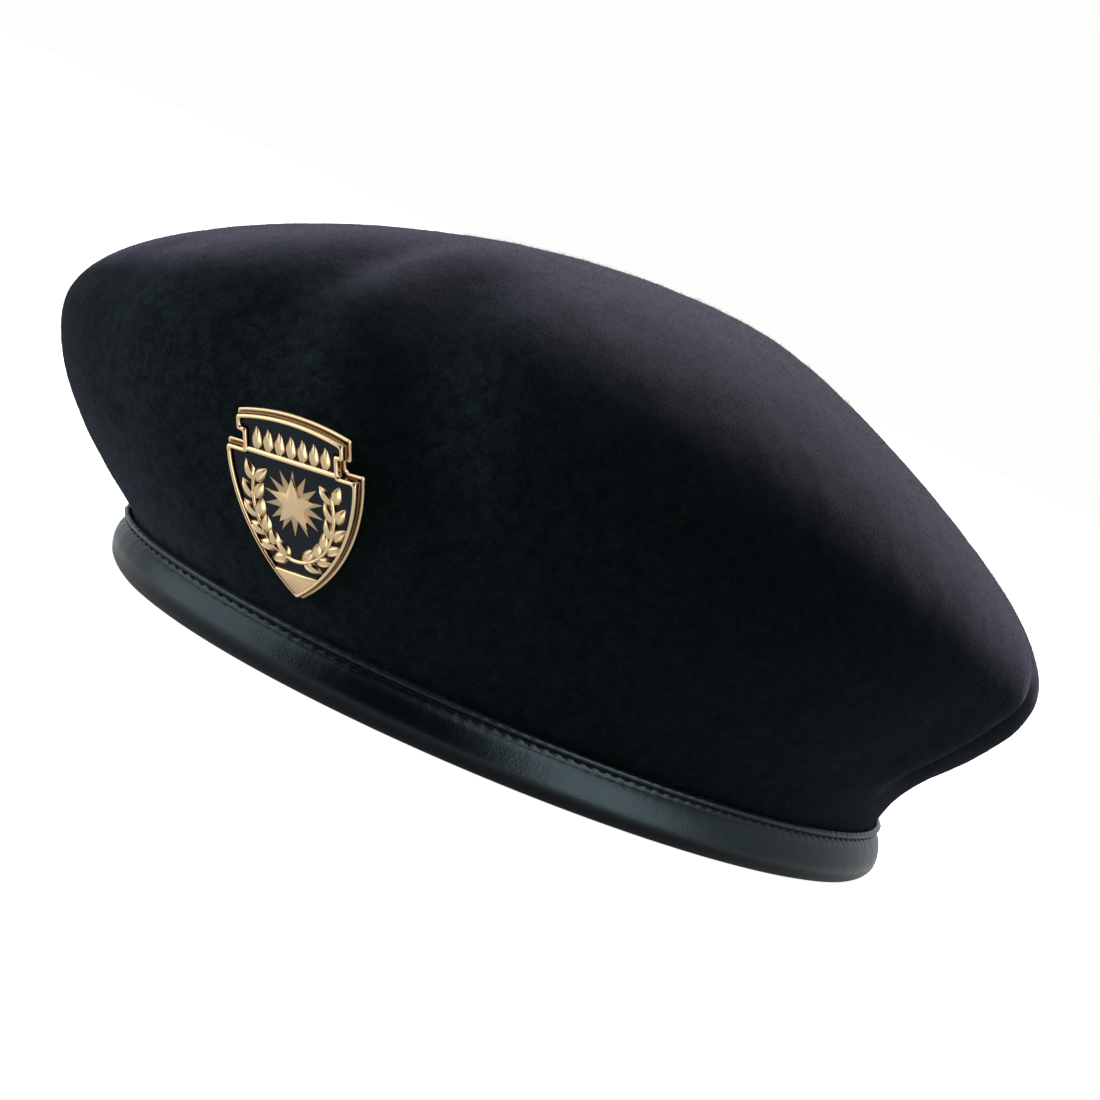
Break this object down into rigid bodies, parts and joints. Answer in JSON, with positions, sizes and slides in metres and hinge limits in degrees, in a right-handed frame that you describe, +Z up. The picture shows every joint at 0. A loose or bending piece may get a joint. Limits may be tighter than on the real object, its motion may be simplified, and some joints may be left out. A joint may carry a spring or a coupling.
{
  "type": "military beret",
  "caption": "Black moulded wool felt beret with a stitched leather edge band and a gold shield badge with dark enamel, resting on its band.",
  "frame": {"origin": "the middle of the beret's outline seen from above, on the surface that the band rests on", "axes": "+Z up, -Y the wearer's front, +X the wearer's left, the side with the badge"},
  "size_m": [0.2396, 0.2694, 0.1158],
  "materials": {
    "felt": "matt wool felt with a short nap",
    "leather": "satin",
    "gold": "polished, aged in its hollows",
    "enamel": "gloss",
    "steel": "plain"
  },
  "bodies": {
    "root": {"crown": "felt", "band": "leather", "badge_shield": "gold", "badge_enamel": "enamel", "badge_screw": "steel"}
  },
  "joints": []
}
